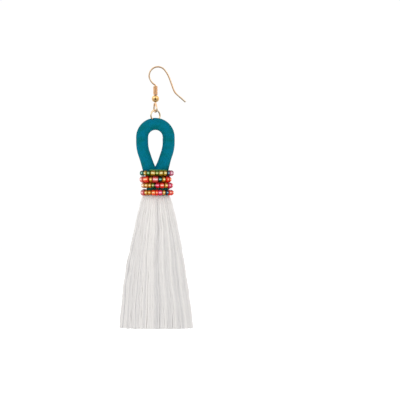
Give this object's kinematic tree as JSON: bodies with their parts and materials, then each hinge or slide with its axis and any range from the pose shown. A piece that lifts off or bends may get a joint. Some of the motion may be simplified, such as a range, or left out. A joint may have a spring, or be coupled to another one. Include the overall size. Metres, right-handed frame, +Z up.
{
  "type": "tassel drop earring",
  "caption": "Drop earring with a fish-hook ear wire, coil and ball, a jump ring, a thread-wrapped cord loop, a bound neck ringed by rows of small glass beads, and a long skirt of loose threads.",
  "frame": {"origin": "on the inside of the hook's bend, straight above the drop, where the earring hangs in the ear", "axes": "+X across the earring towards the tail of the ear wire, +Y away from the viewer of its front, +Z up"},
  "size_m": [0.029, 0.0158, 0.1051],
  "materials": {
    "gold_wire": "polished, gold plated wire",
    "gold_coil": "polished, gold plated wire",
    "gold_ball": "mirror polished, gold plated",
    "gold_ring": "polished, pale gold plated wire",
    "teal_thread": "close-wound embroidery thread",
    "binding_thread": "bound thread",
    "beads_green_gold": "silver-lined glass seed beads, green and gold",
    "beads_coral": "silver-lined glass seed beads, coral and orange",
    "beads_gold_magenta": "silver-lined glass seed beads, gold and magenta",
    "beads_orange_rose": "silver-lined glass seed beads, orange and rose",
    "cotton_thread": "loose twisted cotton threads"
  },
  "bodies": {
    "ear_wire": {"ear_hook": "gold_wire", "hook_coil": "gold_coil", "hook_ball": "gold_ball"},
    "ring": {"jump_ring": "gold_ring"},
    "drop": {"cord_loop": "teal_thread", "neck_binding": "binding_thread", "bead_row_1": "beads_green_gold", "bead_row_2": "beads_coral", "bead_row_3": "beads_gold_magenta", "bead_row_4": "beads_orange_rose", "tassel_skirt": "cotton_thread"}
  },
  "joints": [
    {"name": "drop_swing", "type": "hinge", "parent": "ear_wire", "child": "ring", "pos_m": [0, 0, -0.01753], "axis": [-0.5736, 0.8192, 0], "range_deg": [-60, 60]},
    {"name": "drop_nod", "type": "hinge", "parent": "ring", "child": "drop", "pos_m": [0, 0, -0.02108], "axis": [0.8192, 0.5736, 0], "range_deg": [-25, 25]}
  ]
}
